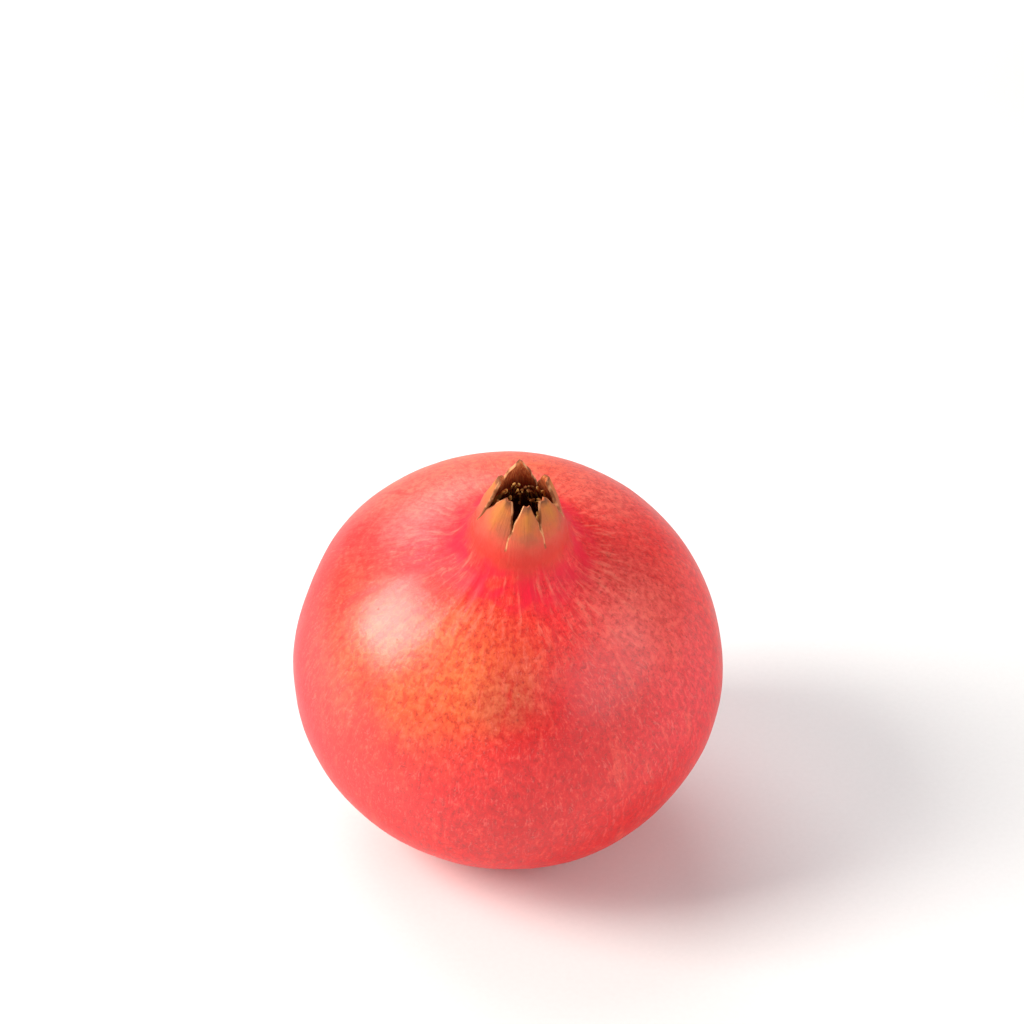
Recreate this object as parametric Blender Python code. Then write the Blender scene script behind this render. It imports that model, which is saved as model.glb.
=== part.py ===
"""A ripe pomegranate as it rests on a small flat spot: the rind with its six-pointed crown,
the dry stamens inside the crown, and the woody stub of the cut stalk.

Metres, +Z up. Each piece is shaped along the fruit's own axis (crown up, zero at the middle
of the body) and then leaned over and lowered on to its flat spot at z = 0.
"""

import math
import random

import bmesh
import bpy
from mathutils import Matrix, Vector

# Body, on the fruit's own axis
BODY_RADIUS = 0.0475        # at the widest, so the fruit is 95 mm across
CROWN_SIDE_HEIGHT = 0.0425  # from the widest place to where the shoulder would close
STALK_SIDE_HEIGHT = 0.0409  # from the widest place to the stalk end
CROWN_SIDE_POWER = 2.10     # 2 would be an ellipse, more is squarer
STALK_SIDE_POWER = 2.04
DIMPLE_DEPTH = 0.0020       # hollow round the stalk
DIMPLE_RADIUS = 0.0060
LOBES = 5                   # faint ribs down the sides
LOBE_HEIGHT = 0.00018

# Places where the body is pressed a little flatter: outward direction as it rests, depth, spread
PRESSED_PLACES = (
    (Vector((-0.94, 0.20, 0.28)), 0.0008, math.radians(11)),
    (Vector((0.04, -0.59, -0.81)), 0.0009, math.radians(12)),
    (Vector((0.62, 0.74, -0.26)), 0.0007, math.radians(15)),
)

# Neck and crown
NECK_RADIUS = 0.0101        # where the shoulder has turned upright
NECK_RISE = 0.0055          # height the shoulder gains as it flares into the neck
NECK_FLARE = 0.0022         # how quickly that flare dies away
SLIT_HEIGHT = 0.0514        # bottom of the slits between the sepals
SLIT_RADIUS = 0.0092
SEPAL_BULGE = 0.0002        # how far a sepal bows out between its root and its tip
SEPAL_KEEL = 0.0004         # ridge down the middle of a sepal
SEPAL_TAPER = 1.4           # 1 gives straight edges, more gives fuller ones
TIP_HALF_WIDTH = 0.00060
TIP_THICKNESS = 0.0008
CROWN_WALL = 0.0015         # thickness at the bottom of the slits
CUP_FLOOR = 0.0435          # bottom of the hollow inside the crown
CUP_CORNER = 0.0020         # rounding between the wall of the hollow and its floor

# One row for each sepal, anticlockwise from the one at the back right: where it starts, in
# degrees from +X, the height of its tip, the tip's distance from the axis, and the tip's direction
SEPAL_SHAPES = (
    (5, 0.0620, 0.0052, 24),
    (65, 0.0630, 0.0053, 98),
    (124, 0.0618, 0.0050, 158),
    (185, 0.0607, 0.0043, 226),
    (250, 0.0606, 0.0046, 280),
    (305, 0.0607, 0.0048, 327),
)

# Stamens: rows round the inside of the cup, from the bottom up
STAMENS_PER_ROW = 12
STAMEN_ROWS = (             # height of the root, then height of the tip and its distance from the axis
    (0.0458, 0.0546, 0.0051),
    (0.0474, 0.0562, 0.0054),
    (0.0490, 0.0577, 0.0049),
)
FILAMENT_RADIUS = 0.00024
ANTHER_RADIUS = 0.00046
ANTHER_SHARE = 0.20         # share of the stamen's length that is the anther
STAMEN_SCATTER = 0.00025    # how unevenly the tips stand

# Stub of the stalk
STALK_RADIUS = 0.0026
STALK_LENGTH = 0.0030

# Rest
LEAN_FORWARD = math.radians(19.5)   # the crown leans towards -Y
LEAN_RIGHT = math.radians(3.0)      # and a little towards +X
FLAT_DEPTH = 0.0013                 # how much of the round is pressed flat where it rests

FIT_GAP = 0.0003            # between neighbouring pieces

# Fineness
COLUMNS_PER_SEPAL = 10
BODY_RINGS = 13             # on each side of the widest place
NECK_RINGS = 3
SEPAL_ROWS = 7
CUP_RINGS = 3
STAMEN_SIDES = 6
STAMEN_RINGS = 9
STALK_SIDES = 20

SEPALS = len(SEPAL_SHAPES)
COLUMNS = SEPALS * COLUMNS_PER_SEPAL


# The parts of the profile

def body_profile(latitude):
    """Radius and height of the plain body at a latitude, in radians up from the widest place."""
    above = latitude > 0
    height = CROWN_SIDE_HEIGHT if above else STALK_SIDE_HEIGHT
    power = CROWN_SIDE_POWER if above else STALK_SIDE_POWER
    radius = BODY_RADIUS * math.cos(latitude) ** (2 / power)
    rise = height * abs(math.sin(latitude)) ** (2 / power)
    return radius, math.copysign(rise, latitude)


def side_point(latitude, around):
    """A point of the body's skin, with the ribs, the neck's flare and the dimple."""
    radius, height = body_profile(latitude)
    share = (radius / BODY_RADIUS) ** 2
    ribbed = radius + share * LOBE_HEIGHT * math.cos(LOBES * around + 1.0)
    if latitude > 0:
        height += NECK_RISE * math.exp(-(radius - NECK_RADIUS) / NECK_FLARE)
    else:
        height += DIMPLE_DEPTH * math.exp(-((radius / DIMPLE_RADIUS) ** 4))
    return Vector((ribbed * math.cos(around), ribbed * math.sin(around), height))


def latitude_of_neck():
    """The latitude at which the body has narrowed to the neck's radius."""
    return math.acos((NECK_RADIUS / BODY_RADIUS) ** (CROWN_SIDE_POWER / 2))


def neck_point(share, around):
    """A point of the neck, from the shoulder (0) to the bottom of the slits (1)."""
    start = side_point(latitude_of_neck(), 0).z
    height = start + share * (SLIT_HEIGHT - start)
    radius = NECK_RADIUS - (NECK_RADIUS - SLIT_RADIUS) * share ** 1.5
    return Vector((radius * math.cos(around), radius * math.sin(around), height))


def sepal_span(number):
    """Direction in which a sepal starts and the angle it spans, in radians."""
    start = SEPAL_SHAPES[number][0]
    end = SEPAL_SHAPES[(number + 1) % SEPALS][0]
    return math.radians(start), math.radians((end - start) % 360)


def wall_thickness(rise):
    """Thickness of the crown at a share of the way up a sepal."""
    return CROWN_WALL + (TIP_THICKNESS - CROWN_WALL) * rise ** 0.7


def sepal_point(number, across, rise, inside):
    """A point of a sepal: across from -1 to 1, rise from its root (0) to its tip (1)."""
    _, tip_height, tip_radius, tip_direction = SEPAL_SHAPES[number]
    start, width = sepal_span(number)
    half_angle = width / 2
    root_half = SLIT_RADIUS * math.sin(half_angle)
    taper = rise ** SEPAL_TAPER
    half_width = (1 - taper) * root_half + taper * TIP_HALF_WIDTH
    sideways = half_width * math.sin(across * half_angle) / math.sin(half_angle)
    middle = SLIT_RADIUS + (tip_radius - SLIT_RADIUS) * rise + 4 * SEPAL_BULGE * rise * (1 - rise)
    outward = middle - SLIT_RADIUS + math.sqrt(SLIT_RADIUS ** 2 - sideways ** 2)
    outward += SEPAL_KEEL * (1 - abs(across)) * min(1.0, 3 * rise)
    if inside:
        thickness = wall_thickness(rise)
        outward -= thickness
        sideways *= 1 - thickness / SLIT_RADIUS
    height = SLIT_HEIGHT + (tip_height - SLIT_HEIGHT) * rise
    middle_direction = start + half_angle
    turn = middle_direction + (math.radians(tip_direction) - middle_direction) * rise ** 1.5
    return Vector((
        outward * math.cos(turn) - sideways * math.sin(turn),
        outward * math.sin(turn) + sideways * math.cos(turn),
        height,
    ))


def cup_profile(share):
    """Radius and height of the hollow, from the bottom of the slits (0) to its floor (1)."""
    top_radius = SLIT_RADIUS - CROWN_WALL
    wall_foot = CUP_FLOOR + CUP_CORNER
    if share < 0.5:
        return top_radius, SLIT_HEIGHT + (wall_foot - SLIT_HEIGHT) * share * 2
    bend = (share - 0.5) * math.pi
    return top_radius - CUP_CORNER * (1 - math.cos(bend)), wall_foot - CUP_CORNER * math.sin(bend)


# From the fruit's own axis to the way it rests

def rest_turn():
    """Rotation that leans the fruit's axis over."""
    axis = Vector((
        math.sin(LEAN_RIGHT),
        -math.sin(LEAN_FORWARD) * math.cos(LEAN_RIGHT),
        math.cos(LEAN_FORWARD) * math.cos(LEAN_RIGHT),
    ))
    side = (Vector((1, 0, 0)) - axis * axis.x).normalized()
    return Matrix((side, axis.cross(side), axis)).transposed()


def resting_shift(points):
    """Move that sets the leaned fruit over the origin, its lowest place sunk by the flat's depth."""
    across = [(min(p[axis] for p in points) + max(p[axis] for p in points)) / 2 for axis in (0, 1)]
    lowest = min(point.z for point in points)
    return Vector((-across[0], -across[1], -lowest - FLAT_DEPTH))


def pressed(point):
    """The point moved in where the body is pressed flatter; point is measured from its middle."""
    moved = point.copy()
    for direction, depth, spread in PRESSED_PLACES:
        outward = direction.normalized()
        angle = outward.angle(point)
        moved -= outward * depth * math.exp(-((angle / spread) ** 2))
    return moved


# Building

def add_ring(bm, points):
    """One closed ring of vertices."""
    return [bm.verts.new(point) for point in points]


def join_rings(bm, lower, upper):
    """Quads between two closed rings of the same length."""
    count = len(lower)
    for index in range(count):
        following = (index + 1) % count
        bm.faces.new((lower[index], lower[following], upper[following], upper[index]))


def close_ring(bm, ring, centre):
    """Triangles from a ring to one point."""
    apex = bm.verts.new(centre)
    for index, vert in enumerate(ring):
        bm.faces.new((vert, ring[(index + 1) % len(ring)], apex))


def finish_object(name, bm, material):
    """A closed mesh object with its faces turned outward and its round sides smooth."""
    bmesh.ops.recalc_face_normals(bm, faces=bm.faces)
    mesh = bpy.data.meshes.new(name)
    bm.to_mesh(mesh)
    bm.free()
    mesh.shade_smooth()
    mesh.set_sharp_from_angle(angle=math.radians(40))
    mesh.materials.append(material)
    obj = bpy.data.objects.new(name, mesh)
    bpy.context.scene.collection.objects.link(obj)
    return obj


def add_material(name, colour, roughness):
    """A plain Principled material."""
    material = bpy.data.materials.new(name)
    material.use_nodes = True
    shader = material.node_tree.nodes["Principled BSDF"]
    shader.inputs["Base Color"].default_value = (*colour, 1)
    shader.inputs["Roughness"].default_value = roughness
    shader.inputs["Metallic"].default_value = 0
    return material


def column_angles():
    """Directions of the columns, the same number for each sepal."""
    angles = []
    for number in range(SEPALS):
        start, width = sepal_span(number)
        angles += [start + width * index / COLUMNS_PER_SEPAL for index in range(COLUMNS_PER_SEPAL)]
    return angles


def add_body_rings(bm):
    """Skin of the body and neck, from the stalk end to the bottom of the slits."""
    angles = column_angles()
    neck_latitude = latitude_of_neck()
    latitudes = [-math.pi / 2 * (1 - index / BODY_RINGS) for index in range(1, BODY_RINGS)]
    latitudes += [neck_latitude * (1 - (1 - index / BODY_RINGS) ** 1.15) for index in range(BODY_RINGS + 1)]
    rings = [add_ring(bm, [side_point(latitude, a) for a in angles]) for latitude in latitudes]
    for index in range(1, NECK_RINGS + 1):
        rings.append(add_ring(bm, [neck_point(index / NECK_RINGS, a) for a in angles]))
    for lower, upper in zip(rings, rings[1:]):
        join_rings(bm, lower, upper)
    close_ring(bm, rings[0], Vector((0, 0, -STALK_SIDE_HEIGHT + DIMPLE_DEPTH)))
    return rings[-1]


def add_cup_rings(bm):
    """Wall and floor of the hollow, and its top ring."""
    angles = column_angles()
    rings = []
    for index in range(2 * CUP_RINGS + 1):
        radius, height = cup_profile(index / (2 * CUP_RINGS))
        rings.append(add_ring(bm, [Vector((radius * math.cos(a), radius * math.sin(a), height)) for a in angles]))
    for upper, lower in zip(rings, rings[1:]):
        join_rings(bm, upper, lower)
    close_ring(bm, rings[-1], Vector((0, 0, CUP_FLOOR)))
    return rings[0]


def sepal_grid(bm, number, root_ring, inside):
    """Rows of vertices of one face of a sepal; the first row is part of the ring below it."""
    start = number * COLUMNS_PER_SEPAL
    rows = [[root_ring[(start + index) % COLUMNS] for index in range(COLUMNS_PER_SEPAL + 1)]]
    for row in range(1, SEPAL_ROWS + 1):
        rise = row / SEPAL_ROWS
        across = [2 * index / COLUMNS_PER_SEPAL - 1 for index in range(COLUMNS_PER_SEPAL + 1)]
        rows.append([bm.verts.new(sepal_point(number, place, rise, inside)) for place in across])
    for lower, upper in zip(rows, rows[1:]):
        for index in range(COLUMNS_PER_SEPAL):
            bm.faces.new((lower[index], lower[index + 1], upper[index + 1], upper[index]))
    return rows


def add_sepal(bm, number, outer_ring, inner_ring):
    """One sepal, with both faces, both edges and its blunt tip."""
    outer = sepal_grid(bm, number, outer_ring, False)
    inner = sepal_grid(bm, number, inner_ring, True)
    for row in range(SEPAL_ROWS):
        for edge in (0, -1):
            bm.faces.new((outer[row][edge], outer[row + 1][edge], inner[row + 1][edge], inner[row][edge]))
    for index in range(COLUMNS_PER_SEPAL):
        bm.faces.new((outer[-1][index], outer[-1][index + 1], inner[-1][index + 1], inner[-1][index]))


def build_fruit(turn):
    """The rind with its crown, grown as one piece. Returns how far its middle was moved."""
    bm = bmesh.new()
    outer_ring = add_body_rings(bm)
    inner_ring = add_cup_rings(bm)
    for number in range(SEPALS):
        add_sepal(bm, number, outer_ring, inner_ring)
    for vert in bm.verts:
        vert.co = pressed(turn @ vert.co)
    shift = resting_shift([vert.co for vert in bm.verts])
    bmesh.ops.translate(bm, verts=bm.verts, vec=shift)
    everything = bm.verts[:] + bm.edges[:] + bm.faces[:]
    cut = bmesh.ops.bisect_plane(bm, geom=everything, dist=1e-6, plane_co=(0, 0, 0), plane_no=(0, 0, 1),
                                 clear_inner=True)
    rim = [item for item in cut["geom_cut"] if isinstance(item, bmesh.types.BMEdge)]
    bmesh.ops.contextual_create(bm, geom=rim)
    rind = add_material("rind", (0.68, 0.07, 0.06), 0.42)
    finish_object("fruit", bm, rind)
    return shift


def stamen_path(row, place, chance):
    """Points along one stamen, from the wall of the cup to the tip of its anther."""
    root_height, tip_height, tip_radius = STAMEN_ROWS[row]
    around = 2 * math.pi * (place + row / len(STAMEN_ROWS)) / STAMENS_PER_ROW
    wall = SLIT_RADIUS - CROWN_WALL - FIT_GAP - FILAMENT_RADIUS
    tip_around = around + chance.uniform(-1, 1) * STAMEN_SCATTER / tip_radius
    tip_height += chance.uniform(-1, 1) * STAMEN_SCATTER
    root = Vector((wall * math.cos(around), wall * math.sin(around), root_height))
    elbow_radius = wall - 0.0006
    elbow = Vector((elbow_radius * math.cos(around), elbow_radius * math.sin(around),
                    root_height + 0.45 * (tip_height - root_height)))
    tip = Vector((tip_radius * math.cos(tip_around), tip_radius * math.sin(tip_around), tip_height))
    points = []
    for index in range(STAMEN_RINGS):
        share = index / (STAMEN_RINGS - 1)
        points.append(root * (1 - share) ** 2 + elbow * 2 * share * (1 - share) + tip * share ** 2)
    return points


def stamen_radius(share):
    """Thin along the filament, swollen at the anther."""
    along = (share - 1 + ANTHER_SHARE) / ANTHER_SHARE
    if along < 0:
        return FILAMENT_RADIUS
    swelling = math.sin(math.pi * min(0.93, 0.1 + 0.9 * along))
    return FILAMENT_RADIUS + (ANTHER_RADIUS - FILAMENT_RADIUS) * swelling


def ring_shares():
    """Places of a stamen's rings: few on the filament, close together on the anther."""
    filament_rings = STAMEN_RINGS - 5
    shares = [(1 - ANTHER_SHARE) * index / filament_rings for index in range(filament_rings + 1)]
    shares += [1 - ANTHER_SHARE * (1 - step) for step in (0.25, 0.55, 0.85, 1.0)]
    return shares


def build_stamen(name, path, placement, material):
    """A filament and its anther as one closed tube along the path."""
    bm = bmesh.new()
    rings = []
    for share in ring_shares():
        place = share * (len(path) - 1)
        index = min(int(place), len(path) - 2)
        centre = path[index].lerp(path[index + 1], place - index)
        along = (path[index + 1] - path[index]).normalized()
        side = along.cross(Vector((0, 0, 1))).normalized()
        other = along.cross(side)
        radius = stamen_radius(share)
        corners = [2 * math.pi * step / STAMEN_SIDES for step in range(STAMEN_SIDES)]
        rings.append(add_ring(bm, [centre + radius * (side * math.cos(c) + other * math.sin(c)) for c in corners]))
    for lower, upper in zip(rings, rings[1:]):
        join_rings(bm, lower, upper)
    for ring in (rings[0], rings[-1]):
        bm.faces.new(ring)
    bm.transform(placement)
    return finish_object(name, bm, material)


def build_stamens(placement):
    """All the stamens, row by row."""
    chance = random.Random(7)
    material = add_material("stamen", (0.36, 0.17, 0.04), 0.75)
    number = 0
    for row in range(len(STAMEN_ROWS)):
        for place in range(STAMENS_PER_ROW):
            number += 1
            build_stamen(f"stamen_{number:02d}", stamen_path(row, place, chance), placement, material)


def build_stalk(placement):
    """The woody stub of the stalk, in the dimple opposite the crown."""
    top = -STALK_SIDE_HEIGHT + DIMPLE_DEPTH - FIT_GAP - 0.0001
    bevel = STALK_RADIUS * 0.12
    outline = (
        (STALK_RADIUS * 0.94, top),
        (STALK_RADIUS * 1.05, top - 0.25 * STALK_LENGTH),
        (STALK_RADIUS * 0.92, top - 0.60 * STALK_LENGTH),
        (STALK_RADIUS, top - STALK_LENGTH + bevel),
        (STALK_RADIUS - bevel, top - STALK_LENGTH),
    )
    bm = bmesh.new()
    angles = [2 * math.pi * index / STALK_SIDES for index in range(STALK_SIDES)]
    rings = [add_ring(bm, [Vector((r * math.cos(a), r * math.sin(a), z)) for a in angles]) for r, z in outline]
    for upper, lower in zip(rings, rings[1:]):
        join_rings(bm, upper, lower)
    for ring in (rings[0], rings[-1]):
        bm.faces.new(ring)
    bm.transform(placement)
    finish_object("stalk_stub", bm, add_material("stalk", (0.20, 0.11, 0.05), 0.85))


def main():
    for obj in list(bpy.data.objects):
        bpy.data.objects.remove(obj, do_unlink=True)
    turn = rest_turn()
    placement = Matrix.Translation(build_fruit(turn)) @ turn.to_4x4()
    build_stamens(placement)
    build_stalk(placement)


main()
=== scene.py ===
"""A ripe pomegranate at rest: coral rind, pointed crown, dry stamens and the stub of its stalk."""

import math
import random

import bmesh
import bpy
from bpy.props import FloatProperty, FloatVectorProperty, IntProperty, PointerProperty
from mathutils import Matrix, Vector


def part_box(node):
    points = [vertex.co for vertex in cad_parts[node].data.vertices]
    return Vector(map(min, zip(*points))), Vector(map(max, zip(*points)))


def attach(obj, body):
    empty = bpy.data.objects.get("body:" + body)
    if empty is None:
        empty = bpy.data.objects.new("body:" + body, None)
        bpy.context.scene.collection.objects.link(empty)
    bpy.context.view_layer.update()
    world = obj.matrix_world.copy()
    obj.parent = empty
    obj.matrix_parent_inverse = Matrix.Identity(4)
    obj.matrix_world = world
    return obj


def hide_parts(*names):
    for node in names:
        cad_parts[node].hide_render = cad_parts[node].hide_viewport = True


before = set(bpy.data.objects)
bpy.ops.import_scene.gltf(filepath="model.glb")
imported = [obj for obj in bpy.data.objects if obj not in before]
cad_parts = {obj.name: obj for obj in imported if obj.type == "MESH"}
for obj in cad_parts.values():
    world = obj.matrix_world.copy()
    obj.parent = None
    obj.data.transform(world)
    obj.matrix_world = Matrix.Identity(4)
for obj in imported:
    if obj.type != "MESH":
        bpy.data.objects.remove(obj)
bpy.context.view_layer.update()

bl_info = {
    "name": "Pomegranate",
    "version": (1, 0, 0),
    "blender": (4, 5, 0),
    "location": "3D View > Sidebar > Pomegranate",
    "description": "Builds a ripe pomegranate, its crown and stamens, and a pale studio for it",
    "category": "Object",
}

STAMEN_NODES = sorted(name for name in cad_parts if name.startswith("stamen_"))

# The fruit's own axis, as it rests
LEAN_FORWARD = math.radians(19.5)
LEAN_RIGHT = math.radians(3.0)
MIDDLE = Vector((-0.00014, 0.00031, 0.04055))

# Body
BODY_RADIUS = 0.0475
CROWN_SIDE_HEIGHT = 0.0425
STALK_SIDE_HEIGHT = 0.0409
CROWN_SIDE_POWER = 2.10
STALK_SIDE_POWER = 2.04
DIMPLE_DEPTH = 0.0020
DIMPLE_RADIUS = 0.0060
LOBES = 5
LOBE_HEIGHT = 0.00018
PRESSED_PLACES = (
    (Vector((-0.94, 0.20, 0.28)), 0.0008, math.radians(11)),
    (Vector((0.04, -0.59, -0.81)), 0.0009, math.radians(12)),
    (Vector((0.62, 0.74, -0.26)), 0.0007, math.radians(15)),
)

# Neck and crown
NECK_RADIUS = 0.0101
NECK_RISE = 0.0055
NECK_FLARE = 0.0022
SLIT_HEIGHT = 0.0504
SLIT_RADIUS = 0.0092
CROWN_WALL = 0.0015
TIP_THICKNESS = 0.0009
CUP_FLOOR = 0.0435
CUP_CORNER = 0.0022

# Each sepal, anticlockwise from the one at the back right: where it starts, in degrees from +X,
# the height of its tip, the tip's distance from the axis, the tip's direction, and its half width
SEPAL_SHAPES = (
    (5, 0.0620, 0.0052, 24, 0.00085),
    (65, 0.0630, 0.0053, 98, 0.00060),
    (124, 0.0618, 0.0050, 158, 0.00070),
    (185, 0.0607, 0.0043, 226, 0.00070),
    (250, 0.0606, 0.0046, 280, 0.00060),
    (305, 0.0607, 0.0048, 327, 0.00075),
)
SEPALS = len(SEPAL_SHAPES)
COLUMNS_PER_SEPAL = 12
SEPAL_ROWS = 11
EDGE_CREASE = 0.55

# How near a vertex must be to count as on a height, on a ring or at an angle
HEIGHT_SLACK = 1e-5
RING_SLACK = 2e-4
WALL_SLACK = 1e-4
ANGLE_SLACK = 1e-4

# Stamens: heights of the roots of the three rows, and sizes of one stamen
STAMENS_PER_ROW = 12
ROW_HEIGHTS = (0.0458, 0.0474, 0.0490)
STAMEN_RISE = 0.0074
STAMEN_TIP_RADIUS = 0.0046
FILAMENT_RADIUS = 0.00026
FILAMENT_STEPS = (0.25, 0.5, 0.75, 1.0)
FILAMENT_WIDTHS = (0.95, 0.9, 0.85, 0.8)
ANTHER_LENGTH = 0.0013
ANTHER_STEPS = (0.12, 0.35, 0.6, 0.85, 1.0)
ANTHER_WIDTHS = (1.2, 1.6, 1.7, 1.4, 0.6)
LOBE_HALF_WIDTH = 0.0003
TUFT_PER_ROW = 18
TUFT_LOWEST = 0.0462
TUFT_ROW_GAP = 0.0016
TUFT_ROW_TURN = 0.11

# Stalk stub: its own top, its radius, and each ring's drop and width on the way down to the cut
STALK_TOP = -STALK_SIDE_HEIGHT + DIMPLE_DEPTH - 0.0003
STALK_RADIUS = 0.0026
STALK_RINGS = (
    (0.0005, 1.06), (0.0012, 0.95), (0.0020, 0.90), (0.0027, 0.96),
    (0.0030, 0.93), (0.0030, 0.60), (0.0027, 0.30),
)
CUT_HEIGHT = -STALK_SIDE_HEIGHT + DIMPLE_DEPTH - 0.0030

# Soft lights: name, direction from the fruit, distance, width, height and colour
LIGHTS = (
    ("key", (-0.80, -0.12, 0.60), 0.85, 0.40, 0.50, (1.0, 0.955, 0.90)),
    ("top", (-0.24, 0.66, 0.72), 1.1, 0.9, 0.9, (1, 1, 1)),
    ("side", (0.84, -0.50, 0.42), 1.25, 1.2, 0.9, (1, 1, 1)),
)
FLOOR_RADIUS = 6.0
FLOOR_GLOW_START = 0.45
FLOOR_GLOW_END = 1.1
FLOOR_GLOW = 0.9

# Camera
CAMERA_DOWN = math.radians(36)
CAMERA_DISTANCE = 5.4 * 2 * BODY_RADIUS
CAMERA_SIDEWAYS = 0.00098
CAMERA_ABOVE_CENTRE = math.radians(3.66)


def paint(red, green, blue):
    """A colour as seen on a screen, 0 to 255, turned into the linear values that shaders use."""
    linear = []
    for value in (red, green, blue):
        share = value / 255
        linear.append(share / 12.92 if share <= 0.04045 else ((share + 0.055) / 1.055) ** 2.4)
    return tuple(linear)


# Small marks on the rind
DEEP_BAND = paint(222, 8, 18)
PALE_BAND = paint(250, 96, 74)
DEEP_MOTTLE = paint(200, 6, 12)
PALE_MOTTLE = paint(252, 120, 92)
DEEP_STREAK = paint(206, 16, 34)
PALE_STREAK = paint(255, 132, 108)
SPECK = paint(150, 24, 10)
PALE_MARK = paint(255, 150, 134)
PORE = paint(126, 34, 24)
NECK_RING = paint(236, 20, 52)
RUSSET = paint(176, 118, 74)

# Neck, sepals and the inside of the crown
NECK_BROWN = paint(212, 62, 42)
PINK_TAN = paint(212, 88, 66)
DARK_LINE = paint(168, 80, 44)
DARK_RIM, PALE_RIM = paint(142, 80, 44), paint(226, 158, 108)
# The lower hollow colour is the crown's dark floor with painted shade deep in the hollow
UPPER_HOLLOW, HOLLOW_FLOOR_AND_PAINTED_SHADE = paint(186, 72, 34), paint(96, 34, 16)
DEEP_LINING, PALE_LINING = paint(206, 92, 48), paint(240, 146, 88)

# Stamens and stalk
FILAMENT, DUST = paint(146, 84, 36), paint(236, 196, 116)
DARK_BARK, PALE_BARK = paint(74, 48, 28), paint(150, 112, 70)
DARK_WOOD, PALE_WOOD = paint(150, 118, 76), paint(206, 178, 128)


# Properties

class FruitSizes(bpy.types.PropertyGroup):
    """Sizes that can be changed without leaving the fruit's own shape."""

    sepal_keel: FloatProperty(
        name="Sepal keel", description="Height of the ridge down the middle of each sepal",
        default=0.00085, min=0, unit="LENGTH")
    edge_curl: FloatProperty(
        name="Edge curl", description="How far the edges of a sepal roll inwards",
        default=0.00035, min=0, unit="LENGTH")
    dent_height: FloatProperty(
        name="Dents", description="Height of the broad, shallow unevenness of the body",
        default=0.00055, min=0, unit="LENGTH")
    pucker_height: FloatProperty(
        name="Puckers", description="Height of the ribs that run down from the neck",
        default=0.00010, min=0, unit="LENGTH")
    stamen_extras: IntProperty(
        name="Extra stamens", description="Stamens between the three main rows",
        default=54, min=0)


class FruitColours(bpy.types.PropertyGroup):
    """Main colours of the rind, the crown and what is in it."""

    coral: FloatVectorProperty(
        name="Coral", description="The rind's main colour", subtype="COLOR",
        default=paint(248, 34, 32))
    rose: FloatVectorProperty(
        name="Rose", description="The pinker blush", subtype="COLOR", default=paint(252, 46, 70))
    # Orange is partly the rind's warmer patches and partly painted light: glow round the highlight and sheen
    # on the top
    orange: FloatVectorProperty(
        name="Orange", description="The warmer, less ripe patches", subtype="COLOR",
        default=paint(252, 128, 66))
    crimson: FloatVectorProperty(
        name="Crimson", description="The deepest red", subtype="COLOR", default=paint(222, 14, 20))
    # Painted sheen: a pale pink painted high on the shoulders and at the upper right, where the lights fall
    painted_sheen: FloatVectorProperty(
        name="Salmon", description="The palest blush, high on the shoulders", subtype="COLOR",
        default=paint(252, 112, 98))
    tan: FloatVectorProperty(
        name="Tan", description="The leathery lower part of the sepals", subtype="COLOR",
        default=paint(192, 98, 68))
    straw: FloatVectorProperty(
        name="Straw", description="The yellow upper part of the sepals", subtype="COLOR",
        default=paint(200, 124, 54))
    bark: FloatVectorProperty(
        name="Bark", description="Dry tips and edges", subtype="COLOR", default=paint(132, 78, 50))
    pollen: FloatVectorProperty(
        name="Pollen", description="Dry anthers", subtype="COLOR", default=paint(216, 162, 82))


class StudioLook(bpy.types.PropertyGroup):
    """The room the fruit is seen in."""

    key_power: FloatProperty(
        name="Key light", description="Power of the large soft light at the left",
        default=8.7, min=0, unit="POWER")
    top_power: FloatProperty(
        name="Top light", description="Power of the soft light overhead", default=6.5, min=0, unit="POWER")
    side_power: FloatProperty(
        name="Side light", description="Power of the broad low light at the right",
        default=6.8, min=0, unit="POWER")
    room_light: FloatProperty(
        name="Room light", description="Brightness of the white room", default=0.31, min=0)
    focal_length: FloatProperty(
        name="Focal length", description="Lens of the camera, in millimetres", default=81.3, min=1)


def sizes():
    return bpy.context.scene.fruit_sizes


def colours():
    return bpy.context.scene.fruit_colours


# Working in edit mode

def clear_selection():
    """Object mode with nothing selected."""
    if bpy.context.object and bpy.context.object.mode != "OBJECT":
        bpy.ops.object.mode_set(mode="OBJECT")
    bpy.ops.object.select_all(action="DESELECT")


def activate(obj):
    """Only this object selected, and active."""
    clear_selection()
    obj.select_set(True)
    bpy.context.view_layer.objects.active = obj


def select_where(mesh, edge_test=None, vert_test=None):
    """In edit mode, select the edges or the vertices that pass a test, and nothing else."""
    bpy.ops.mesh.select_all(action="DESELECT")
    bm = bmesh.from_edit_mesh(mesh)
    for edge in bm.edges:
        if edge_test and edge_test(edge):
            edge.select_set(True)
    for vert in bm.verts:
        if vert_test and vert_test(vert):
            vert.select_set(True)
    bm.select_flush_mode()
    bmesh.update_edit_mesh(mesh)


def apply_modifiers(obj):
    """Apply every modifier, from the top down."""
    activate(obj)
    for modifier in list(obj.modifiers):
        bpy.ops.object.modifier_apply(modifier=modifier.name)


def start_edit(select_mode):
    """Edit mode, with everything selected."""
    bpy.ops.object.mode_set(mode="EDIT")
    bpy.ops.mesh.select_mode(type=select_mode)
    bpy.ops.mesh.select_all(action="SELECT")


def close_edit():
    """Turn all faces outwards and leave edit mode."""
    bpy.ops.mesh.select_all(action="SELECT")
    bpy.ops.mesh.normals_make_consistent(inside=False)
    bpy.ops.object.mode_set(mode="OBJECT")


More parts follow.
